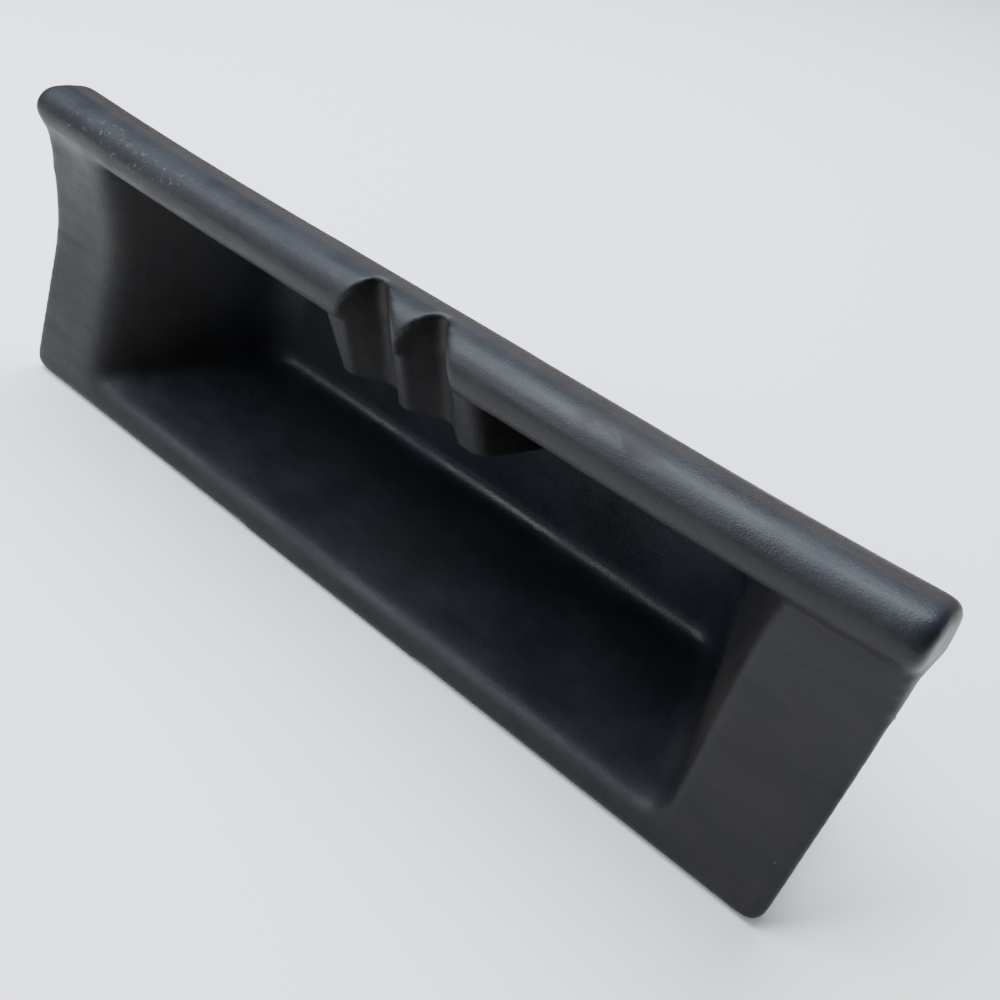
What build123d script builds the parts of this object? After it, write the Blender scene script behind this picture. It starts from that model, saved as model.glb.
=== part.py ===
from build123d import *
import math
import os

# Door pull handle: a moulded finger pocket with a full-length grip lip, two finger flutes under the
# middle of the lip, and a steel armature behind it that carries four studs for the door's inner panel.
#
# Everything is drawn in a drawing frame and moved to the handle's own frame when it is written:
#   drawing frame   X along the handle, 0 at mid length; Y into the door, 0 at the bottom edge's front;
#                   Z up, 0 at the bottom edge
#   handle's frame  same directions, origin at the centre of the four studs on the seat plane

# ---------------------------------------------------------------- driving dimensions, millimetres
LENGTH = 241.0                 # over the ends of the grip lip
WALL = 3.4                     # skin of the pocket and of the flange

# flange: a sheet with a hollow front, between the lip and the bottom edge
FLANGE_TOP_Z = 62.6
FLANGE_DEEPEST_Y = 8.85        # how far the hollow front lies behind the bottom edge
FLANGE_DEEPEST_Z = 44.7
FLANGE_HOLLOW_R = 63.0
FLANGE_HALF_BOTTOM = 117.0     # half length along the bottom edge
FLANGE_HALF_TOP = 120.2        # half length just under the lip
FLANGE_CORNER_R = 4.0
FLANGE_EDGE_R = 1.2

# grip lip: one section swept along the handle, rising a little towards its ends
NOSE_Y = 9.45
NOSE_Z = 67.0
NOSE_R = 5.55
LIP_BACK_Y = 21.4
LIP_BOTTOM_Z = 60.3
CROWN_DROP = 0.85              # fall of the crown from the nose to the back round
LIP_BACK_R = 4.0
LIP_END_R = 2.6
LIP_TRIM = 1.5                 # swept past each end, then cut off square
LEFT_RISE = 1.9
LEFT_RISE_LENGTH = 75.0
RIGHT_RISE = 1.2
RIGHT_RISE_LENGTH = 50.0
NECK_TOP_Z = 65.5              # the flange runs on up inside the nose to here
NECK_SETBACK = 0.7             # and stands back a little from the flange's front and ends
WEB_IN_X = 114.0               # webs behind both ends, from the flange up to the lip's back
WEB_LOW_Z = 50.0
WEB_KNEE_Y = 1.6               # the web's rear edge turns back at this depth behind the flange
WEB_KNEE_Z = 5.6               # and this height above its lower end
WEB_TOP_DROP = 0.4             # it meets the lip's back this far below the lip's bottom
WEB_TOP_WIDTH = 5.0
WEB_SETBACK = 0.4              # from the flange's end

# pocket: inside faces
OPENING_HALF_BOTTOM = 92.2     # half length of the mouth at the floor
OPENING_HALF_TOP = 102.2       # and a little above the lip
BACK_HALF_BOTTOM = 75.4
BACK_HALF_TOP = 70.5
FLOOR_FRONT_Z = 6.5
FLOOR_BACK_Z = 8.4
BACK_Y = 50.5
ROOF_FRONT_Y = 13.2            # highest line of the roof, just behind the nose
ROOF_FRONT_Z = 68.0
ROOF_BACK_Z = 42.0
HOOK_Y = 11.2                  # lower edge of the nose's rear face, where the fingers pull
CORNER_R = 11.0                # upright corners at the back
FLOOR_R = 5.0
MOUTH_REACH = 12.0             # the hollow is cut this far out in front of the bottom edge
SKIN_FRONT_Y = 1.0             # the pocket's skin starts here, inside the flange

# fluted block that props the middle of the lip
BLOCK_X = 2.8
BLOCK_HALF = 21.8
BLOCK_FRONT_TOP_Y = 6.6
BLOCK_RIDGE_Y = 15.2           # front of the ridges at the block's bottom
BLOCK_RIDGE_Z = 45.0
BLOCK_BACK_Z = 35.5            # bottom of the block at the back wall
BLOCK_FLANK_R = 3.2

# finger flutes: plans at the lip's top and at the block's bottom, as (x, y); their left sides are
# steep and their right sides slant, so that fingers lie in them at an angle
FLUTE_TOP_Z = 72.4
FLUTE_LOW_Z = 44.0
FLUTE_REACH = 6.0              # each flute is cut this far past both plans
FLUTE_R = 1.5
LEFT_FLUTE_TOP = [(-8.8, -6.0), (-8.4, 12.6), (-5.7, 12.6), (13.8, -6.0)]
LEFT_FLUTE_LOW = [(-28.1, 0.0), (-9.2, 21.5), (-6.0, 21.5), (16.8, 0.0)]
RIGHT_FLUTE_TOP = [(6.5, -6.0), (9.2, 12.6), (11.9, 12.6), (25.4, -6.0)]
RIGHT_FLUTE_LOW = [(-10.8, 0.0), (8.0, 21.5), (10.5, 21.5), (37.4, 0.0)]

# steel armature
ROD_R = 2.0
ROD_Y = 9.2
ROD_Z = 67.0
ROD_BEND_R = 6.0
ROD_END_X = 111.0
LEFT_ROD_TURN_X = -15.3
RIGHT_ROD_TURN_X = 20.3
ROD_LEVEL_Y = 48.0             # where the sloping run turns level to pass through the back wall
ROD_BACK_Z = 40.0
PLATE = 2.5
PLATE_FRONT_Y = ROD_Y + ROD_R
PLATE_IN_X = 96.0
PLATE_OUT_X = 112.0
PLATE_BOTTOM_Z = 9.0
PLATE_TOP_Z = 70.0
PLATE_CORNER_R = 3.0
STRAP = 2.0
STRAP_LOW_Z = 26.0
STRAP_HIGH_Z = 45.0
STRAP_GAP = 1.5                # room for the pads between the pocket and the strap
STRAP_BEND_R = 3.0
STRAP_FOOT_X = 98.0            # where the strap leaves the end plate
STRAP_BACK_X = 80.5            # and where it turns across the back

# fastenings
STUD_R = 3.0
STUD_X = 104.0
STUD_LOW_Z = 16.0
STUD_HIGH_Z = 52.0
STUD_FREE = 18.0               # length of each stud behind the seat plane
STUD_HEAD_R = 4.4
STUD_HEAD = 1.2
STUD_CHAMFER = 0.8
STUD_SHOULDER_R = 3.4          # pressed into the plate and the tube, up to the seat plane
TUBE_R = 6.0
TUBE_BORE_R = 3.45
TUBE_LENGTH = 8.0
BOSS_R = 8.0
RIVET_R = 1.6
RIVET_HEAD_R = 2.9
RIVET_HEAD = 1.3
RIVET_X = (103.1, 109.1)
THREAD_PLAY = 0.05
NUT_ACROSS = 7.0
NUT_HEIGHT = 3.2
WASHER_R = 4.5
WASHER = 0.8
ROD_THREAD_FREE = 2.0          # rod end that stands out behind its nut

# soft strips and pads
SEAL = 2.5
SEAL_WIDTH = 3.5
SEAL_SETBACK = 0.8
PAD_WIDTH = 30.0
PAD_HEIGHT = 14.0
PAD_X = 45.0

# ---------------------------------------------------------------- sizes that follow from the above
HALF = LENGTH / 2
PLATE_BACK_Y = PLATE_FRONT_Y + PLATE
SEAT_Y = PLATE_BACK_Y + TUBE_LENGTH
STUD_MID_Z = (STUD_LOW_Z + STUD_HIGH_Z) / 2
BACK_OUT_Y = BACK_Y + WALL
STRAP_IN_Y = BACK_OUT_Y + STRAP_GAP
STRAP_OUT_Y = STRAP_IN_Y + STRAP
STRAP_MID_Z = (STRAP_LOW_Z + STRAP_HIGH_Z) / 2
ROOF_SLOPE = (ROOF_FRONT_Z - ROOF_BACK_Z) / (BACK_Y - ROOF_FRONT_Y)
SIDES = (-1, 1)


def along_x(outline, low, high):
    """A prism along X from an outline given as (y, z)."""
    face = make_face(Plane.YZ.offset(low) * outline)
    return extrude(face, high - low, dir=(1, 0, 0))


def along_y(outline, low, high):
    """A prism along Y from an outline given as (x, z)."""
    face = make_face(Plane.XZ.offset(-low) * outline)
    return extrude(face, high - low, dir=(0, 1, 0))


def polygon(points):
    """A closed outline through the points."""
    return Polyline(*points, close=True)


def box_between(low, high):
    """A box from its lowest to its highest corner."""
    size = [b - a for a, b in zip(low, high)]
    middle = [(a + b) / 2 for a, b in zip(low, high)]
    return Pos(*middle) * Box(*size)


def rod_along_y(x, z, radius, low, high):
    """A round bar along Y."""
    return Pos(x, (low + high) / 2, z) * Rot(90, 0, 0) * Cylinder(radius, high - low)


def roof_z(y):
    """Height of the pocket's inside roof at a depth y."""
    return ROOF_FRONT_Z - ROOF_SLOPE * (y - ROOF_FRONT_Y)


# ---------------------------------------------------------------- the moulding
def flange_front_y(z):
    """How far the flange's hollow front lies behind the bottom edge at a height z."""
    rise = z - FLANGE_DEEPEST_Z
    return FLANGE_DEEPEST_Y - FLANGE_HOLLOW_R + math.sqrt(FLANGE_HOLLOW_R ** 2 - rise ** 2)


def flange_outline(shift=0.0, thickness=WALL):
    """Section of the flange: straight from the bottom edge, then hollow up to the lip."""
    centre_y = FLANGE_DEEPEST_Y - FLANGE_HOLLOW_R
    reach = math.hypot(centre_y, FLANGE_DEEPEST_Z)
    touch = math.atan2(FLANGE_DEEPEST_Z, -centre_y) + math.asin(FLANGE_HOLLOW_R / reach) - math.pi / 2
    start_y = centre_y + FLANGE_HOLLOW_R * math.cos(touch)
    start = (start_y, FLANGE_DEEPEST_Z - FLANGE_HOLLOW_R * math.sin(touch))
    end = (flange_front_y(FLANGE_TOP_Z), FLANGE_TOP_Z)
    deepest = (FLANGE_DEEPEST_Y, FLANGE_DEEPEST_Z)

    def moved(point, distance):
        return (point[0] + distance, point[1])

    near, far = shift, shift + thickness
    return [
        Line(moved((0, 0), near), moved(start, near)),
        ThreePointArc(moved(start, near), moved(deepest, near), moved(end, near)),
        Line(moved(end, near), moved(end, far)),
        ThreePointArc(moved(end, far), moved(deepest, far), moved(start, far)),
        Line(moved(start, far), moved((0, 0), far)),
        Line(moved((0, 0), far), moved((0, 0), near)),
    ]


def flange():
    """Flange sheet, cut to its slightly tapered outline with rounded bottom corners."""
    sheet = along_x(Curve() + flange_outline(), -HALF, HALF)
    outline = polygon([
        (-FLANGE_HALF_BOTTOM, 0), (FLANGE_HALF_BOTTOM, 0),
        (FLANGE_HALF_TOP, FLANGE_TOP_Z), (-FLANGE_HALF_TOP, FLANGE_TOP_Z),
    ])
    cutter = along_y(outline, -10, LIP_BACK_Y + 10)
    corners = cutter.edges().filter_by(Axis.Y).sort_by(Axis.Z)[:2]
    sheet = sheet & fillet(corners, FLANGE_CORNER_R)
    front = sheet.edges().filter_by(Axis.X).group_by(Axis.Z)[0].sort_by(Axis.Y)[0]
    return fillet(front, FLANGE_EDGE_R)


def neck():
    """The flange's run-on inside the nose, which closes the joint where the lip rises at its ends."""
    half = FLANGE_HALF_TOP - NECK_SETBACK
    front_y = flange_front_y(FLANGE_TOP_Z) + NECK_SETBACK
    return box_between((-half, front_y, FLANGE_TOP_Z - 1), (half, front_y + WALL, NECK_TOP_Z))


def end_web(side):
    """Web behind one end: from the flange's rear face up to the lip's back."""
    rear_y = flange_front_y(WEB_LOW_Z) + WALL
    outline = polygon([
        (rear_y - 1, WEB_LOW_Z), (rear_y, WEB_LOW_Z),
        (rear_y + WEB_KNEE_Y, WEB_LOW_Z + WEB_KNEE_Z),
        (LIP_BACK_Y - WEB_TOP_WIDTH, LIP_BOTTOM_Z - WEB_TOP_DROP), (LIP_BACK_Y, LIP_BOTTOM_Z),
        (LIP_BACK_Y, LIP_BOTTOM_Z + 3), (rear_y - 3, LIP_BOTTOM_Z + 3),
    ])
    low, high = sorted((side * WEB_IN_X, side * (FLANGE_HALF_TOP - WEB_SETBACK)))
    return along_x(outline, low, high)


def lip_outline():
    """Section of the lip: round nose, crowned top, rounded back edge, flat back."""
    nose_low = (NOSE_Y - math.sqrt(NOSE_R ** 2 - (NOSE_Z - FLANGE_TOP_Z) ** 2), FLANGE_TOP_Z)
    nose_front = (NOSE_Y - NOSE_R, NOSE_Z)
    nose_top = (NOSE_Y, NOSE_Z + NOSE_R)
    crown_end = (LIP_BACK_Y - LIP_BACK_R, nose_top[1] - CROWN_DROP)
    nose = ThreePointArc(nose_low, nose_front, nose_top)
    crown = TangentArc(nose_top, crown_end, tangent=(1, 0))
    back_round = TangentArc(crown_end, (LIP_BACK_Y, crown_end[1] - LIP_BACK_R), tangent=crown % 1)
    return Curve() + [
        nose, crown, back_round,
        Line(back_round @ 1, (LIP_BACK_Y, LIP_BOTTOM_Z)),
        Line((LIP_BACK_Y, LIP_BOTTOM_Z), (FLANGE_DEEPEST_Y, LIP_BOTTOM_Z)),
        Line((FLANGE_DEEPEST_Y, LIP_BOTTOM_Z), (FLANGE_DEEPEST_Y, FLANGE_TOP_Z)),
        Line((FLANGE_DEEPEST_Y, FLANGE_TOP_Z), nose_low),
    ]


def end_bend(end_x, bend_x, rise):
    """Arc from the lip's end to where the lip runs level, tangent to the level run."""
    length = abs(end_x - bend_x)
    radius = (length ** 2 + rise ** 2) / (2 * rise)
    half_turn = math.asin(length / radius) / 2
    toward_end = math.copysign(1, end_x)
    middle_x = bend_x + toward_end * radius * math.sin(half_turn)
    middle_z = NOSE_Z + radius * (1 - math.cos(half_turn))
    return [(end_x, 0, NOSE_Z + rise), (middle_x, 0, middle_z), (bend_x, 0, NOSE_Z)]


def lip():
    """Lip section swept from end to end; the path bends up a little towards both ends."""
    reach = HALF + LIP_TRIM
    left = ThreePointArc(*end_bend(-reach, -HALF + LEFT_RISE_LENGTH, LEFT_RISE))
    right = ThreePointArc(*reversed(end_bend(reach, HALF - RIGHT_RISE_LENGTH, RIGHT_RISE)))
    path = Curve() + [left, Line(left @ 1, right @ 0), right]
    start = Plane(origin=left @ 0, x_dir=(0, 1, 0), z_dir=left % 0)
    solid = sweep(make_face(start * Pos(0, -NOSE_Z) * lip_outline()), path=path)
    solid = solid & box_between((-HALF, -HALF, 0), (HALF, HALF, HALF))
    ends = solid.faces().sort_by(Axis.X)
    rims = [edge for end in (ends[0], ends[-1]) for edge in end.edges()]
    outer = [rim for rim in rims if rim.center().Z > NOSE_Z - 1 or rim.center().Y > LIP_BACK_Y - 1]
    return fillet(outer, LIP_END_R)


def plan_outline(half_front, half_back, front_y, back_y, corner_r, level):
    """Plan of the pocket at one level: wide at the mouth, narrow and round-cornered at the back."""
    points = [(-half_front, front_y), (half_front, front_y), (half_back, back_y), (-half_back, back_y)]
    face = make_face(Plane.XY.offset(level) * polygon(points))
    return fillet(face.vertices().group_by(Axis.Y)[-1], corner_r)


def pocket_block(section, grow, front_y):
    """The pocket's tapered plan, grown by a skin, cut to a section given as (y, z)."""
    low_z, high_z = -grow, ROOF_FRONT_Z + 10
    side_slope = (OPENING_HALF_BOTTOM - BACK_HALF_BOTTOM) / BACK_Y
    side_grow = grow * math.hypot(1, side_slope)
    back_y = BACK_Y + grow

    def half_length(front, back, y):
        return front + (back - front) * y / BACK_Y + side_grow

    def plan_at(fraction):
        front = OPENING_HALF_BOTTOM + (OPENING_HALF_TOP - OPENING_HALF_BOTTOM) * fraction
        back = BACK_HALF_BOTTOM + (BACK_HALF_TOP - BACK_HALF_BOTTOM) * fraction
        level = low_z + (high_z - low_z) * fraction
        halves = half_length(front, back, front_y), half_length(front, back, back_y)
        return plan_outline(*halves, front_y, back_y, CORNER_R + grow, level)

    return loft([plan_at(0), plan_at(1)]) & along_x(section, -HALF, HALF)


def floor_z(y):
    """Height of the pocket's floor at a depth y."""
    return FLOOR_FRONT_Z + (FLOOR_BACK_Z - FLOOR_FRONT_Z) * y / BACK_Y


def floor_edges(solid, front_y):
    """The edges round a pocket's floor, but for the one at its front."""
    low = [edge for edge in solid.edges() if edge.center().Z < FLOOR_BACK_Z + 1]
    return [edge for edge in low if edge.center().Y > front_y + 1]


def pocket_space():
    """What is hollow: the pocket, up behind the nose of the lip and out through the mouth."""
    front_y = -MOUTH_REACH
    section = polygon([
        (front_y, floor_z(front_y)), (BACK_Y, floor_z(BACK_Y)), (BACK_Y, roof_z(BACK_Y)),
        (ROOF_FRONT_Y, ROOF_FRONT_Z), (HOOK_Y, FLANGE_TOP_Z), (front_y, FLANGE_TOP_Z),
    ])
    space = pocket_block(section, 0, front_y)
    return fillet(floor_edges(space, front_y), FLOOR_R)


def pocket_shell():
    """The pocket's skin before it is hollowed, starting just behind the flange's front."""
    front_y = SKIN_FRONT_Y
    back_y = BACK_OUT_Y
    roof_lift = WALL * math.hypot(1, ROOF_SLOPE)
    section = polygon([
        (front_y, floor_z(front_y) - WALL), (back_y, floor_z(back_y) - WALL),
        (back_y, roof_z(back_y) + roof_lift), (ROOF_FRONT_Y, ROOF_FRONT_Z + roof_lift),
        (front_y, ROOF_FRONT_Z + roof_lift),
    ])
    shell = pocket_block(section, WALL, front_y)
    return fillet(floor_edges(shell, front_y), FLOOR_R + WALL)


def behind_flange_front(skin):
    """Everything that lies more than a skin behind the flange's hollow front and the lip's nose."""
    below = along_x(Curve() + flange_outline(skin, BACK_Y + 2 * WALL), -HALF, HALF)
    above = box_between((-HALF, NOSE_Y + skin, FLANGE_TOP_Z), (HALF, BACK_Y + 2 * WALL, HALF))
    return below + above


def block():
    """The fluted block's body: a wedge from the lip down to the back wall."""
    section = polygon([
        (BLOCK_FRONT_TOP_Y, FLANGE_TOP_Z + 1), (BLOCK_RIDGE_Y, BLOCK_RIDGE_Z),
        (BACK_Y + 1, BLOCK_BACK_Z), (BACK_Y + 1, roof_z(BACK_Y) + 1),
        (ROOF_FRONT_Y, ROOF_FRONT_Z + 1), (ROOF_FRONT_Y - 2, ROOF_FRONT_Z + 1),
    ])
    body = along_x(section, BLOCK_X - BLOCK_HALF, BLOCK_X + BLOCK_HALF)
    ends = body.faces().sort_by(Axis.X)
    rims = [edge for end in (ends[0], ends[-1]) for edge in end.edges()]
    front = [rim for rim in rims if rim.center().Y < BLOCK_RIDGE_Y and rim.center().Z < FLANGE_TOP_Z]
    return fillet(front, BLOCK_FLANK_R)


def flute(top_plan, low_plan):
    """One finger flute, lofted through its plan at the lip's top and its plan at the block's bottom."""
    def plan_at(level):
        part_way = (FLUTE_TOP_Z - level) / (FLUTE_TOP_Z - FLUTE_LOW_Z)
        points = [
            (top[0] + (low[0] - top[0]) * part_way, top[1] + (low[1] - top[1]) * part_way)
            for top, low in zip(top_plan, low_plan)
        ]
        face = make_face(Plane.XY.offset(level) * polygon(points))
        return fillet(face.vertices().group_by(Axis.Y)[-1], FLUTE_R)

    return loft([plan_at(FLUTE_LOW_Z - FLUTE_REACH), plan_at(FLUTE_TOP_Z + FLUTE_REACH)])


def stud_places():
    """Centres of the four studs as (x, z)."""
    return [(side * STUD_X, z) for side in SIDES for z in (STUD_LOW_Z, STUD_HIGH_Z)]


def bosses():
    """Moulded pads that carry the end plates round the lower studs."""
    pads = Part()
    for side in SIDES:
        pads += rod_along_y(side * STUD_X, STUD_LOW_Z, BOSS_R, 0, PLATE_FRONT_Y)
    return pads


def moulding(steel):
    """The one visible moulding, with the steel that it is moulded round taken out of it."""
    behind = behind_flange_front(WALL / 4)
    solid = flange() + neck() + lip() + end_web(-1) + end_web(1)
    solid = solid + (behind & (pocket_shell() + bosses()))
    solid = solid - pocket_space() + block()
    solid = solid - flute(LEFT_FLUTE_TOP, LEFT_FLUTE_LOW) - flute(RIGHT_FLUTE_TOP, RIGHT_FLUTE_LOW)
    for piece in steel:
        solid = solid - piece
    return solid


# ---------------------------------------------------------------- the steel armature
def grip_rod(side, turn_x):
    """A rod along inside the nose, turned back through the block to the strap behind the pocket."""
    end_y = STRAP_OUT_Y + WASHER + NUT_HEIGHT + ROD_THREAD_FREE
    path = FilletPolyline(
        (side * ROD_END_X, ROD_Y, ROD_Z), (turn_x, ROD_Y, ROD_Z),
        (turn_x, ROD_LEVEL_Y, ROD_BACK_Z), (turn_x, end_y, ROD_BACK_Z),
        radius=ROD_BEND_R,
    )
    return sweep(Plane(origin=path @ 0, z_dir=path % 0) * Circle(ROD_R), path=path)


def rivet(x):
    """Rivet that joins the strap to an end plate: flush in front, round head behind."""
    shank = rod_along_y(x, STRAP_MID_Z, RIVET_R, PLATE_FRONT_Y, PLATE_BACK_Y + STRAP)
    head_y = PLATE_BACK_Y + STRAP
    head = rod_along_y(x, STRAP_MID_Z, RIVET_HEAD_R, head_y, head_y + RIVET_HEAD)
    rim = head.edges().filter_by(GeomType.CIRCLE).sort_by(Axis.Y)[-1]
    return shank + fillet(rim, RIVET_HEAD * 0.8)


def stud(x, z):
    """Clinch stud: head let into the front of the end plate, thread pointing into the door."""
    head = rod_along_y(x, z, STUD_HEAD_R, PLATE_FRONT_Y, PLATE_FRONT_Y + STUD_HEAD)
    shoulder = rod_along_y(x, z, STUD_SHOULDER_R, PLATE_FRONT_Y, SEAT_Y)
    thread = rod_along_y(x, z, STUD_R, SEAT_Y, SEAT_Y + STUD_FREE)
    tip = thread.edges().filter_by(GeomType.CIRCLE).sort_by(Axis.Y)[-1]
    return head + shoulder + chamfer(tip, STUD_CHAMFER)


def stand_off_tube(x, z):
    """Tube pressed on a stud: its rear face is the seat on the door's inner panel."""
    tube = rod_along_y(x, z, TUBE_R, PLATE_BACK_Y, SEAT_Y)
    return tube - rod_along_y(x, z, TUBE_BORE_R, PLATE_BACK_Y, SEAT_Y)


def end_plate(side, fastenings):
    """Plate behind one end of the flange, its top moulded into the lip."""
    low, high = sorted((side * PLATE_IN_X, side * PLATE_OUT_X))
    plate = box_between((low, PLATE_FRONT_Y, PLATE_BOTTOM_Z), (high, PLATE_BACK_Y, PLATE_TOP_Z))
    plate = fillet(plate.edges().filter_by(Axis.Y), PLATE_CORNER_R)
    for piece in fastenings:
        plate = plate - piece
    return plate


def back_strap(cuts):
    """Strip bent round the pocket, from one end plate across the back to the other."""
    foot_y = PLATE_BACK_Y + STRAP / 2
    back_y = STRAP_IN_Y + STRAP / 2
    half = [(PLATE_OUT_X - 1, foot_y), (STRAP_FOOT_X, foot_y), (STRAP_BACK_X, back_y)]
    points = half + [(-x, y) for x, y in reversed(half)]
    path = FilletPolyline(*[(x, y, STRAP_MID_Z) for x, y in points], radius=STRAP_BEND_R)
    section = Plane(origin=path @ 0, x_dir=(0, 1, 0), z_dir=path % 0)
    strap = sweep(section * Rectangle(STRAP, STRAP_HIGH_Z - STRAP_LOW_Z), path=path)
    for piece in cuts:
        strap = strap - piece
    return strap


def rod_washer(x):
    """Washer under the nut of one grip rod."""
    disc = rod_along_y(x, ROD_BACK_Z, WASHER_R, STRAP_OUT_Y, STRAP_OUT_Y + WASHER)
    return disc - rod_along_y(x, ROD_BACK_Z, ROD_R + THREAD_PLAY, STRAP_IN_Y, STRAP_OUT_Y + WASHER)


def rod_nut(x):
    """Hexagon nut on the threaded end of one grip rod."""
    low = STRAP_OUT_Y + WASHER
    outline = Pos(x, ROD_BACK_Z) * RegularPolygon(NUT_ACROSS / 2, 6, major_radius=False)
    nut = extrude(Plane.XZ.offset(-low) * outline, NUT_HEIGHT, dir=(0, 1, 0))
    return nut - rod_along_y(x, ROD_BACK_Z, ROD_R + THREAD_PLAY, low, low + NUT_HEIGHT)


# ---------------------------------------------------------------- soft strips and pads
def seal_strip(side):
    """Foam strip stuck behind one end of the flange, following its hollow."""
    outer = FLANGE_HALF_BOTTOM - SEAL_SETBACK
    low, high = sorted((side * (outer - SEAL_WIDTH), side * outer))
    strip = along_x(Curve() + flange_outline(WALL, SEAL), low, high)
    return strip & box_between((low, 0, FLANGE_CORNER_R + 1), (high, LIP_BACK_Y, WEB_LOW_Z - 1))


def anti_rattle_pad(x):
    """Felt pad between the pocket's back wall and the strap."""
    low = (x - PAD_WIDTH / 2, BACK_OUT_Y, STRAP_MID_Z - PAD_HEIGHT / 2)
    high = (x + PAD_WIDTH / 2, STRAP_IN_Y, STRAP_MID_Z + PAD_HEIGHT / 2)
    return box_between(low, high)


# ---------------------------------------------------------------- the whole handle
def handle():
    """Every node by name, in the drawing frame."""
    turns = {-1: LEFT_ROD_TURN_X, 1: RIGHT_ROD_TURN_X}
    rods = {side: grip_rod(side, turns[side]) for side in SIDES}
    studs = [stud(x, z) for x, z in stud_places()]
    rivets = [rivet(side * x) for side in SIDES for x in RIVET_X]
    plates = {side: end_plate(side, studs + rivets) for side in SIDES}
    rod_holes = [rod_along_y(x, ROD_BACK_Z, ROD_R, STRAP_IN_Y - 1, STRAP_OUT_Y + 1) for x in turns.values()]
    return {
        "pocket_moulding": moulding([plates[-1], plates[1], *studs, rods[-1], rods[1]]),
        "left_grip_rod": rods[-1],
        "right_grip_rod": rods[1],
        "left_end_plate": plates[-1],
        "right_end_plate": plates[1],
        "back_strap": back_strap(rivets + rod_holes),
        "strap_rivets": Compound(children=rivets),
        "clinch_studs": Compound(children=studs),
        "stand_off_tubes": Compound(children=[stand_off_tube(x, z) for x, z in stud_places()]),
        "rod_washers": Compound(children=[rod_washer(x) for x in turns.values()]),
        "rod_nuts": Compound(children=[rod_nut(x) for x in turns.values()]),
        "left_seal_strip": seal_strip(-1),
        "right_seal_strip": seal_strip(1),
        "anti_rattle_pads": Compound(children=[anti_rattle_pad(side * PAD_X) for side in SIDES]),
    }


os.makedirs("parts", exist_ok=True)
to_handle_frame = Pos(0, -SEAT_Y, -STUD_MID_Z)
for node, shape in handle().items():
    export_step(to_handle_frame * shape, f"parts/{node}.step")
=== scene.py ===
import bmesh
import bpy
import numpy as np
from mathutils import Matrix, Vector


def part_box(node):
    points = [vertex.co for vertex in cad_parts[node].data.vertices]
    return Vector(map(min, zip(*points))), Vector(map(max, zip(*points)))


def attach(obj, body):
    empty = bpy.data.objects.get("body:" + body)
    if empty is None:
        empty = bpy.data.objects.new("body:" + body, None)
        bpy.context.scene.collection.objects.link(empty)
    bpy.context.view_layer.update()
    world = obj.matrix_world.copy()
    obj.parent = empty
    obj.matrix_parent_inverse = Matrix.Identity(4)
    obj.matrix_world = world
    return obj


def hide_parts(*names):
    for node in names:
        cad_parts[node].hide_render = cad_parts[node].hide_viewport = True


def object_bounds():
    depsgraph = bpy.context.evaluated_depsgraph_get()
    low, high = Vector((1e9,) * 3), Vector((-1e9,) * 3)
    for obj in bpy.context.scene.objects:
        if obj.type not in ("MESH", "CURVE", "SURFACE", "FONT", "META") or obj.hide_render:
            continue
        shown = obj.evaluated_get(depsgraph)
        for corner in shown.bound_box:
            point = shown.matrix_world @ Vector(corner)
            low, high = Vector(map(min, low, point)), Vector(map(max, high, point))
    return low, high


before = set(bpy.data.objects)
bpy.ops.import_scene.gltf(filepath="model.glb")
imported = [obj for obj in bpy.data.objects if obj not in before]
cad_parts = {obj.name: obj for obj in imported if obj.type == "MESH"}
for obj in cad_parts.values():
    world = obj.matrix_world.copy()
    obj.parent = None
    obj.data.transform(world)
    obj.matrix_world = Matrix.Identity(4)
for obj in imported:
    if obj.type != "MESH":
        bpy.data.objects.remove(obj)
cad_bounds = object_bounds()

MM = 0.001
SKIN_SPECULAR = 0.20

# ---------------------------------------------------------------- places in the handle's frame, metres
# The handle's origin is the middle of the studs on the seat plane. The heights and depths below are
# counted from the moulding's own box: its middle, its front and its bottom edge.
SKIN_LOW, SKIN_HIGH = (Vector(corner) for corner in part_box("pocket_moulding"))
MID_X = (SKIN_LOW.x + SKIN_HIGH.x) / 2
FRONT_Y = SKIN_LOW.y
BOTTOM_Z = SKIN_LOW.z
NOSE_Z = 67.0 * MM


def place(x, y, z):
    """A point given in millimetres from the middle of the bottom edge's front."""
    return Vector((MID_X + x * MM, FRONT_Y + y * MM, BOTTOM_Z + z * MM))


# ---------------------------------------------------------------- colours of the moulded skin
WARM_DARK = (0.0115, 0.0108, 0.0112, 1)
WARM_LIGHT = (0.018, 0.0165, 0.0165, 1)
# cool greys: painted reflection of the sky light on faces that look up, and the tint at the back of the
# pocket
BLUE_DARK = (0.0105, 0.0125, 0.0170, 1)
BLUE_LIGHT = (0.0155, 0.0182, 0.0240, 1)
REAR_STRIP_TONE = (0.031, 0.0268, 0.0262, 1)
WORN = (0.10, 0.09, 0.075, 1)
SHADE_PATCH = (0.013, 0.013, 0.014, 1)

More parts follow.
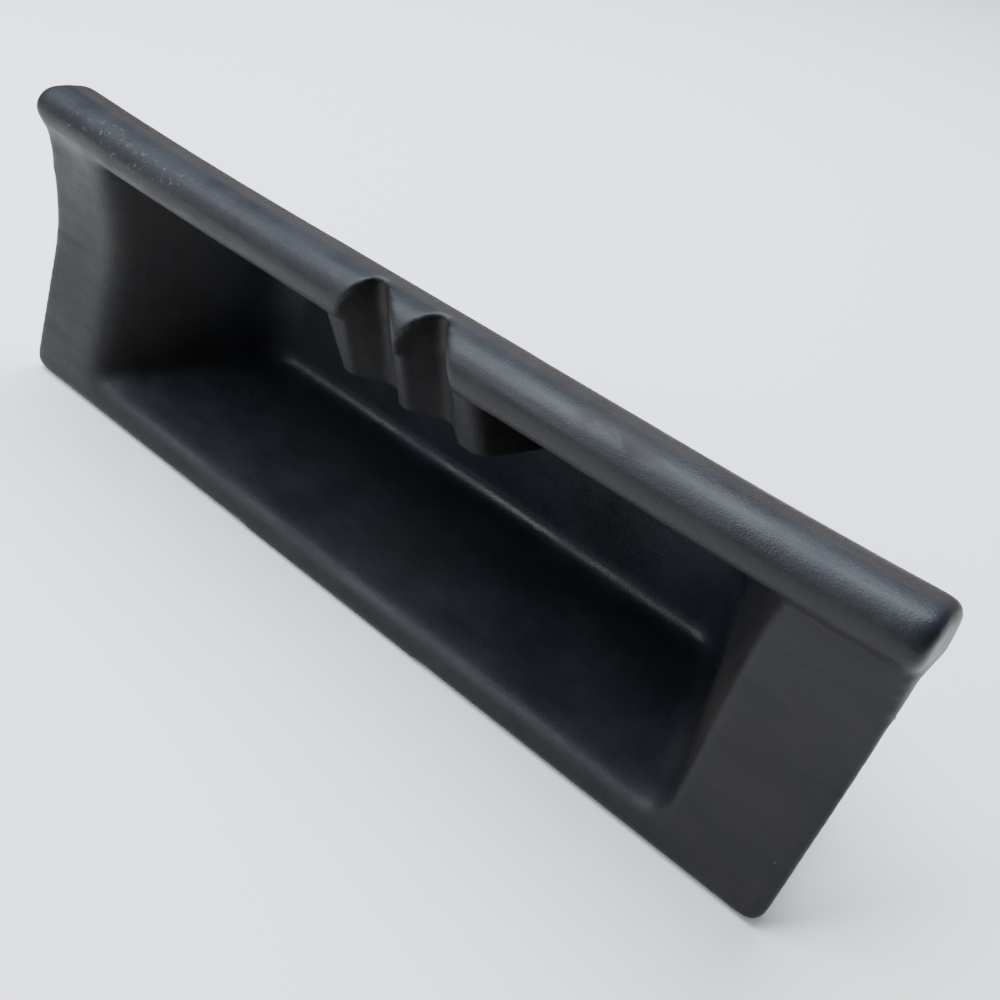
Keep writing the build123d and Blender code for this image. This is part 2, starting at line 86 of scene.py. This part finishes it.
# ---------------------------------------------------------------- small helpers for materials
class Nodes:
    """Adds nodes to a material and joins them, so that each material reads as a list of steps."""

    def __init__(self, name):
        self.material = bpy.data.materials.new(name)
        self.material.use_nodes = True
        self.tree = self.material.node_tree
        self.shader = self.tree.nodes["Principled BSDF"]
        self.position = self.add("ShaderNodeNewGeometry").outputs["Position"]

    def add(self, kind, **settings):
        node = self.tree.nodes.new(kind)
        for key, value in settings.items():
            setattr(node, key, value)
        return node

    def feed(self, socket, value):
        if isinstance(value, bpy.types.NodeSocket):
            self.tree.links.new(value, socket)
        else:
            socket.default_value = value

    def calc(self, operation, first, second=0.0, third=0.0, clamp=False):
        """One step of arithmetic."""
        node = self.add("ShaderNodeMath", operation=operation, use_clamp=clamp)
        for socket, value in zip(node.inputs, (first, second, third)):
            self.feed(socket, value)
        return node.outputs[0]

    def band(self, value, low, high, out_low=0.0, out_high=1.0):
        """Smooth change of a value from low to high."""
        node = self.add("ShaderNodeMapRange", interpolation_type="SMOOTHSTEP")
        limits = {"From Min": low, "From Max": high, "To Min": out_low, "To Max": out_high}
        for name, number in limits.items():
            node.inputs[name].default_value = number
        self.feed(node.inputs["Value"], value)
        return node.outputs["Result"]

    def noise(self, size, detail=3.0, roughness=0.5, stretch=(1, 1, 1), offset=(0, 0, 0)):
        """Noise whose grains are about as large as size, in metres."""
        mapping = self.add("ShaderNodeMapping")
        mapping.inputs["Scale"].default_value = [s / size for s in stretch]
        mapping.inputs["Location"].default_value = offset
        self.feed(mapping.inputs["Vector"], self.position)
        node = self.add("ShaderNodeTexNoise")
        node.inputs["Scale"].default_value = 1.0
        node.inputs["Detail"].default_value = detail
        node.inputs["Roughness"].default_value = roughness
        self.feed(node.inputs["Vector"], mapping.outputs[0])
        return node.outputs["Fac"]

    def mix(self, amount, first, second):
        """Colour between two colours."""
        node = self.add("ShaderNodeMix", data_type="RGBA")
        self.feed(node.inputs[0], amount)
        self.feed(node.inputs[6], first)
        self.feed(node.inputs[7], second)
        return node.outputs[2]

    def spot(self, centre, radii):
        """1 inside an ellipsoid, falling to 0 outside it."""
        shift = self.add("ShaderNodeVectorMath", operation="SUBTRACT")
        self.feed(shift.inputs[0], self.position)
        shift.inputs[1].default_value = centre
        scale = self.add("ShaderNodeVectorMath", operation="DIVIDE")
        self.feed(scale.inputs[0], shift.outputs[0])
        scale.inputs[1].default_value = radii
        length = self.add("ShaderNodeVectorMath", operation="LENGTH")
        self.feed(length.inputs[0], scale.outputs[0])
        return self.band(length.outputs["Value"], 0.7, 1.15, 1.0, 0.0)

    def bump(self, height, distance, strength=1.0, below=None):
        node = self.add("ShaderNodeBump")
        node.inputs["Distance"].default_value = distance
        node.inputs["Strength"].default_value = strength
        self.feed(node.inputs["Height"], height)
        if below is not None:
            self.feed(node.inputs["Normal"], below)
        return node.outputs["Normal"]


def moulded_skin():
    """Satin dark moulded skin: fine grain, uneven gloss, a worn lip, scuffs and specks of wear."""
    n = Nodes("moulded_skin")
    split = n.add("ShaderNodeSeparateXYZ")
    n.feed(split.inputs[0], n.position)
    along, depth, height = split.outputs
    depth = n.calc("SUBTRACT", depth, FRONT_Y)
    height = n.calc("SUBTRACT", height, BOTTOM_Z)
    up = n.add("ShaderNodeSeparateXYZ")
    n.feed(up.inputs[0], n.add("ShaderNodeNewGeometry").outputs["Normal"])
    facing_up = n.band(up.outputs[2], 0.15, 0.9)

    grain = n.noise(0.42 * MM, 2.0, 0.6)
    leather = n.noise(1.5 * MM, 2.0, 0.5, offset=(2, 4, 6))
    cloud = n.noise(16 * MM, 4.0, 0.6)
    broad = n.noise(48 * MM, 2.0, 0.5, offset=(3, 1, 7))
    streak = n.noise(2.4 * MM, 3.0, 0.6, stretch=(0.1, 1, 1))

    # painted reflections: the lip's top and the faces that look up are a cool grey, a painted reflection
    # of the sky light; the back of the pocket is a cool grey too; the rest is a warm grey, partly a
    # painted reflection of a brown ground below
    lip = n.band(height, 61 * MM, 65 * MM)
    colour = n.mix(n.band(cloud, 0.35, 0.7), WARM_DARK, WARM_LIGHT)
    blue = n.mix(n.band(cloud, 0.3, 0.7), BLUE_DARK, BLUE_LIGHT)
    lip_top_sky_reflection = n.calc("MULTIPLY", lip, facing_up)
    level = n.band(up.outputs[2], 0.3, 0.95, 0.0, 0.8)
    deep = n.band(depth, 22 * MM, 46 * MM)
    colour = n.mix(n.calc("MAXIMUM", n.calc("MAXIMUM", lip_top_sky_reflection, level), deep), colour, blue)
    # the back strip of the lip's top is a lighter, warmer grey than the part that hands take hold of
    rear = n.calc("MULTIPLY", n.band(depth, 11.5 * MM, 14.0 * MM), lip)
    colour = n.mix(n.calc("MULTIPLY", rear, 0.75), colour, REAR_STRIP_TONE)
    colour = n.mix(n.band(broad, 0.5, 0.75, 0.0, 0.4), colour, WARM_LIGHT)
    # worn specks on the left of the lip
    specks = n.band(n.noise(1.5 * MM, 4.0, 0.75, offset=(5, 5, 5)), 0.59, 0.68)
    worn = n.spot(place(-86, 6, 71), (27 * MM, 4 * MM, 4 * MM))
    colour = n.mix(n.calc("MULTIPLY", specks, worn), colour, WORN)
    # the lip's right end face is made paler
    pale_end_face = n.spot(place(120.5, 14, 66), (1.6 * MM, 11 * MM, 8 * MM))
    colour = n.mix(n.calc("MULTIPLY", pale_end_face, n.band(cloud, 0.25, 0.6, 0.2, 0.6)), colour, WORN)
    # a few specks anywhere
    stray = n.band(n.noise(1.3 * MM, 3.0, 0.8, offset=(9, 2, 1)), 0.74, 0.80, 0.0, 0.5)
    colour = n.mix(stray, colour, WORN)
    # painted shade: a darker, ragged patch on the right half of the lip's top, where less light falls
    ragged = n.band(n.noise(7 * MM, 3.0, 0.6, offset=(1, 8, 3)), 0.40, 0.55)
    shade_patch = n.calc("MULTIPLY", n.spot(place(57, 9, 72), (10 * MM, 4.5 * MM, 4 * MM)), ragged)
    colour = n.mix(n.calc("MULTIPLY", shade_patch, 0.65), colour, SHADE_PATCH)
    # scuffs at the right bottom corner
    scuff = n.band(n.noise(1.6 * MM, 4.0, 0.7, stretch=(1, 1, 0.3), offset=(4, 7, 2)), 0.64, 0.72)
    scuffed = n.spot(place(116, 3, 8), (5 * MM, 6 * MM, 12 * MM))
    colour = n.mix(n.calc("MULTIPLY", scuff, scuffed), colour, WORN)
    n.feed(n.shader.inputs["Base Color"], colour)

    # smoother skin deep in the pocket and where hands polish the lip; duller on the patch of painted
    # shade
    rough = n.band(cloud, 0.3, 0.75, 0.48, 0.62)
    rough = n.calc("ADD", rough, n.band(streak, 0.4, 0.7, -0.03, 0.05))
    rough = n.calc("SUBTRACT", rough, n.band(depth, 20 * MM, 45 * MM, 0.0, 0.16))
    polished = n.calc("MULTIPLY", lip, n.band(along, 0.0, 70 * MM, 0.4, 1.0))
    rough = n.calc("SUBTRACT", rough, n.calc("MULTIPLY", polished, 0.10))
    rough = n.calc("ADD", rough, n.calc("MULTIPLY", shade_patch, 0.12))
    n.feed(n.shader.inputs["Roughness"], rough)
    n.shader.inputs["Specular IOR Level"].default_value = SKIN_SPECULAR

    fine = n.bump(grain, 0.08 * MM, 0.8)
    middle = n.bump(leather, 0.05 * MM, 0.6, fine)
    n.feed(n.shader.inputs["Normal"], n.bump(cloud, 0.5 * MM, 0.5, middle))
    return n.material


def metal(name, colour, roughness, brushing=(1, 1, 1), dull=(0.3, 0.3, 0.3, 1)):
    """Bare or plated steel with fine working marks and dull patches."""
    n = Nodes(name)
    marks = n.noise(0.5 * MM, 3.0, 0.6, stretch=brushing)
    patches = n.noise(9 * MM, 4.0, 0.6)
    n.feed(n.shader.inputs["Base Color"], n.mix(n.band(patches, 0.45, 0.75, 0.0, 0.7), colour, dull))
    n.shader.inputs["Metallic"].default_value = 1.0
    n.feed(n.shader.inputs["Roughness"], n.calc("ADD", roughness, n.band(patches, 0.35, 0.7, 0.0, 0.18)))
    n.feed(n.shader.inputs["Normal"], n.bump(marks, 0.03 * MM, 0.5))
    return n.material


def dipped_coat():
    """Black dip coat with slight orange peel and dusty grey patches."""
    n = Nodes("dipped_coat")
    peel = n.noise(1.6 * MM, 2.0)
    dust = n.noise(14 * MM, 4.0, 0.6)
    dusty = n.band(dust, 0.5, 0.8)
    colour = n.mix(dusty, (0.009, 0.009, 0.010, 1), (0.026, 0.025, 0.023, 1))
    n.feed(n.shader.inputs["Base Color"], colour)
    n.feed(n.shader.inputs["Roughness"], n.band(dust, 0.35, 0.75, 0.3, 0.55))
    n.feed(n.shader.inputs["Normal"], n.bump(peel, 0.06 * MM, 0.5))
    return n.material


def foam():
    """Closed-cell foam with open pores on its cut faces."""
    n = Nodes("foam")
    pores = n.noise(0.7 * MM, 2.0, 0.7)
    n.feed(n.shader.inputs["Base Color"], n.mix(pores, (0.012, 0.012, 0.012, 1), (0.05, 0.05, 0.05, 1)))
    n.shader.inputs["Roughness"].default_value = 0.95
    n.feed(n.shader.inputs["Normal"], n.bump(pores, 0.3 * MM))
    return n.material


def felt():
    """Needle felt: short grey fibres."""
    n = Nodes("felt")
    fibres = n.noise(0.6 * MM, 4.0, 0.8, stretch=(0.25, 1, 1))
    n.feed(n.shader.inputs["Base Color"], n.mix(fibres, (0.05, 0.05, 0.052, 1), (0.2, 0.2, 0.2, 1)))
    n.shader.inputs["Roughness"].default_value = 1.0
    n.shader.inputs["Sheen Weight"].default_value = 0.3
    n.feed(n.shader.inputs["Normal"], n.bump(fibres, 0.4 * MM))
    return n.material


def dress(node, material):
    """Puts a material on a carried-over node."""
    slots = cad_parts[node].material_slots
    for slot in slots:
        slot.material = material


# ---------------------------------------------------------------- the moulding's visible skin
VOXEL = 0.7 * MM
SOFTEN_STEPS = 3               # everywhere: the small radius that a moulded skin has on every edge
EDGE_STEPS = 9                 # more of it away from the flutes, whose rims stay thin
FLUTES_HALF = 27 * MM          # the flutes lie within this distance of the middle
FLUTES_FADE = 4 * MM
SWEEP_STEPS = 55               # where the left end of the flange sweeps up into the lip
MOUTH_STEPS = 70               # along the mouth's bottom and left edges, which are rounded far more
RIGHT_MOUTH_SHARE = 0.15       # the mouth's right edge is crisper than its left edge
RIGHT_MOUTH_X = 60 * MM        # from mid length to here the softening falls to that share

# each zone of softening: where it is full, and where it has ended
SWEEP_LENGTH = (-102 * MM, -88 * MM)
SWEEP_MID_Z = 62 * MM
SWEEP_REACH = (1.5 * MM, 9 * MM)
SWEEP_DEPTH = (9 * MM, 11 * MM)
BOTTOM_DEPTH = (7 * MM, 12 * MM)
BOTTOM_UPPER = (8.5 * MM, 12.5 * MM)
BOTTOM_LOWER = (4.0 * MM, 2.0 * MM)
BOTTOM_INSIDE = 3 * MM
BOTTOM_OUTSIDE = 4 * MM
SIDE_REACH = (4 * MM, 8 * MM)
SIDE_DEPTH = (11 * MM, 14 * MM)
SIDE_UPPER = (57 * MM, 61.5 * MM)
SIDE_LOWER = (7 * MM, 4 * MM)

END_HALF_LOW = 117.0 * MM      # half length of the flange, along the bottom edge
END_HALF_HIGH = 120.2 * MM     # and where it joins the lip
LIP_JOINT_Z = 62.6 * MM
MOUTH_HALF_LOW = 90.7 * MM     # half length of the mouth's outline on the flange, at the bottom edge
MOUTH_HALF_HIGH = 97.0 * MM    # and at the nose


def end_stretch(points):
    """How much longer the handle is under the lip than at each point's height."""
    height = np.clip(points[:, 2] - BOTTOM_Z, 0, LIP_JOINT_Z)
    return END_HALF_HIGH / (END_HALF_LOW + (END_HALF_HIGH - END_HALF_LOW) * height / LIP_JOINT_Z)


def remeshed(node, name):
    """An even mesh of a CAD node as a new object; its ends stand square while it is meshed."""
    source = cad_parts[node].data
    welded = bmesh.new()
    welded.from_mesh(source)
    bmesh.ops.remove_doubles(welded, verts=welded.verts, dist=0.001 * MM)
    mesh = bpy.data.meshes.new(name)
    welded.to_mesh(mesh)
    welded.free()
    square = read_points(mesh)
    square[:, 0] = MID_X + (square[:, 0] - MID_X) * end_stretch(square)
    write_points(mesh, square)
    piece = bpy.data.objects.new(name, mesh)
    bpy.context.collection.objects.link(piece)
    remesh = piece.modifiers.new("even", "REMESH")
    remesh.mode = "VOXEL"
    remesh.voxel_size = VOXEL
    evaluated = piece.evaluated_get(bpy.context.evaluated_depsgraph_get())
    even = bpy.data.meshes.new_from_object(evaluated)
    piece.modifiers.clear()
    piece.data = even
    slanted = read_points(even)
    slanted[:, 0] = MID_X + (slanted[:, 0] - MID_X) / end_stretch(slanted)
    write_points(even, slanted)
    return piece


def read_points(mesh):
    """The mesh's points, one row each."""
    points = np.empty(len(mesh.vertices) * 3)
    mesh.vertices.foreach_get("co", points)
    return points.reshape(-1, 3)


def write_points(mesh, points):
    """Moves the mesh's points to the rows given."""
    mesh.vertices.foreach_set("co", points.ravel())
    mesh.update()


def edge_ends(mesh):
    """The two point numbers of every edge."""
    ends = np.empty(len(mesh.edges) * 2, dtype=np.int64)
    mesh.edges.foreach_get("vertices", ends)
    return ends.reshape(-1, 2)


def fade(value, full, none, least=0.0):
    """1 at full, least at none, smooth between."""
    part = np.clip((value - none) / (full - none), 0, 1)
    return least + (1 - least) * part * part * (3 - 2 * part)


def soften(points, ends, weight, steps):
    """Moves each point towards the middle of its neighbours, as far as its weight says."""
    count = np.bincount(ends.ravel(), minlength=len(points))[:, None]
    for _ in range(steps):
        total = np.stack([
            np.bincount(ends[:, 0], points[ends[:, 1], axis], len(points))
            + np.bincount(ends[:, 1], points[ends[:, 0], axis], len(points))
            for axis in range(3)
        ], axis=1)
        points = points + (total / count - points) * (0.5 * weight[:, None])
    return points


def sweep_zone(x, y, z):
    """1 where the left end of the flange sweeps up into the lip, 0 away from there."""
    joint = fade(np.abs(z - SWEEP_MID_Z), *SWEEP_REACH)
    return fade(x, *SWEEP_LENGTH) * joint * fade(y, *SWEEP_DEPTH)


def mouth_zone(x, y, z):
    """1 along the mouth's bottom edge and left side, less along its right side, 0 elsewhere."""
    half_mouth = MOUTH_HALF_LOW + (MOUTH_HALF_HIGH - MOUTH_HALF_LOW) * z / NOSE_Z
    bottom = fade(y, *BOTTOM_DEPTH) * fade(z, *BOTTOM_UPPER) * fade(z, *BOTTOM_LOWER)
    bottom *= fade(np.abs(x), half_mouth - BOTTOM_INSIDE, half_mouth + BOTTOM_OUTSIDE)
    sides = fade(np.abs(np.abs(x) - half_mouth), *SIDE_REACH) * fade(y, *SIDE_DEPTH)
    sides *= fade(z, *SIDE_UPPER) * fade(z, *SIDE_LOWER)
    sides *= fade(x, 0.0, RIGHT_MOUTH_X, RIGHT_MOUTH_SHARE)
    return np.maximum(bottom, sides)


def visible_skin():
    """The moulding with its edges softened as a moulded skin's are."""
    piece = remeshed("pocket_moulding", "moulded_pocket")
    ends = edge_ends(piece.data)
    points = read_points(piece.data)
    points = soften(points, ends, np.ones(len(points)), SOFTEN_STEPS)
    x, y, z = (points - np.array(place(0, 0, 0))).T
    away_from_flutes = fade(np.abs(x), FLUTES_HALF + FLUTES_FADE, FLUTES_HALF)
    points = soften(points, ends, away_from_flutes, EDGE_STEPS)
    points = soften(points, ends, sweep_zone(x, y, z), SWEEP_STEPS)
    points = soften(points, ends, mouth_zone(x, y, z), MOUTH_STEPS)
    write_points(piece.data, points)
    for polygon in piece.data.polygons:
        polygon.use_smooth = True
    piece.data.materials.clear()
    return piece


skin_piece = visible_skin()
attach(skin_piece, "root")
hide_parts("pocket_moulding")

zinc = metal("zinc_plate", (0.46, 0.44, 0.37, 1), 0.3, dull=(0.3, 0.29, 0.27, 1))
bright = metal("bright_steel", (0.55, 0.55, 0.56, 1), 0.22, brushing=(0.1, 1, 1))
turned = metal("turned_steel", (0.5, 0.5, 0.51, 1), 0.28, brushing=(1, 3, 1))
skin_piece.data.materials.append(moulded_skin())
for node, material in {
    "left_grip_rod": bright, "right_grip_rod": bright,
    "left_end_plate": zinc, "right_end_plate": zinc, "back_strap": dipped_coat(),
    "strap_rivets": bright, "clinch_studs": zinc, "stand_off_tubes": turned,
    "rod_washers": zinc, "rod_nuts": zinc, "left_seal_strip": foam(), "right_seal_strip": foam(),
    "anti_rattle_pads": felt(),
}.items():
    dress(node, material)

# ---------------------------------------------------------------- camera, at the picture's viewing angle
CAMERA_FROM_MID = (144.4, -154.4, 180.7)      # from the middle of the bottom edge's front, mm
CAMERA_RIGHT = Vector((0.738, 0.649, 0.185))
CAMERA_FORWARD = Vector((-0.4566, 0.6824, -0.5710))
LENS = 43.5
camera = bpy.data.objects.new("camera", bpy.data.cameras.new("camera"))
camera.data.lens = LENS
camera.data.sensor_width = 36.0
camera.data.clip_start = 0.01
bpy.context.collection.objects.link(camera)
forward = CAMERA_FORWARD.normalized()
right = (CAMERA_RIGHT - forward * CAMERA_RIGHT.dot(forward)).normalized()
up = right.cross(forward)
turn = Matrix((right, up, -forward)).transposed().to_4x4()
camera.matrix_world = Matrix.Translation(place(*CAMERA_FROM_MID)) @ turn
bpy.context.scene.camera = camera

# ---------------------------------------------------------------- floor and light
FLOOR_HALF = 3.0
FLOOR_GAP = 0.0005             # the floor lies this far below the handle
PAPER = (0.90, 0.90, 0.90, 1)
PAPER_ROUGHNESS = 0.9
COOL_WHITE = (0.90, 0.95, 1.0)
WINDOW_WHITE = (0.88, 0.94, 1.0)
WORLD_COLOUR = (0.9, 0.92, 0.95, 1)
WORLD_STRENGTH = 0.10
MIDDLE = (0, 0, 0)

floor_mesh = bpy.data.meshes.new("floor")
grid = bmesh.new()
bmesh.ops.create_grid(grid, x_segments=1, y_segments=1, size=FLOOR_HALF)
grid.to_mesh(floor_mesh)
grid.free()
floor = bpy.data.objects.new("floor", floor_mesh)
floor.location.z = cad_bounds[0][2] - FLOOR_GAP
bpy.context.collection.objects.link(floor)
paper = Nodes("paper")
paper.shader.inputs["Base Color"].default_value = PAPER
paper.shader.inputs["Roughness"].default_value = PAPER_ROUGHNESS
floor.data.materials.append(paper.material)


def soft_light(name, position, target, size, power, colour=(1, 1, 1)):
    """An area light at a place, aimed at a place."""
    light = bpy.data.lights.new(name, "AREA")
    light.shape = "RECTANGLE"
    light.size, light.size_y = size
    light.energy = power
    light.color = colour
    lamp = bpy.data.objects.new(name, light)
    lamp.location = position
    lamp.rotation_euler = (Vector(target) - Vector(position)).to_track_quat("-Z", "Y").to_euler()
    bpy.context.collection.objects.link(lamp)


soft_light("sky_light", (-0.35, 0.15, 1.0), MIDDLE, (1.8, 0.72), 50.0, COOL_WHITE)
soft_light("front_light", (-0.45, -0.75, 0.5), MIDDLE, (0.3, 0.3), 5.2, WINDOW_WHITE)
world = bpy.data.worlds.new("world")
world.use_nodes = True
background = world.node_tree.nodes["Background"]
background.inputs["Color"].default_value = WORLD_COLOUR
background.inputs["Strength"].default_value = WORLD_STRENGTH
bpy.context.scene.world = world
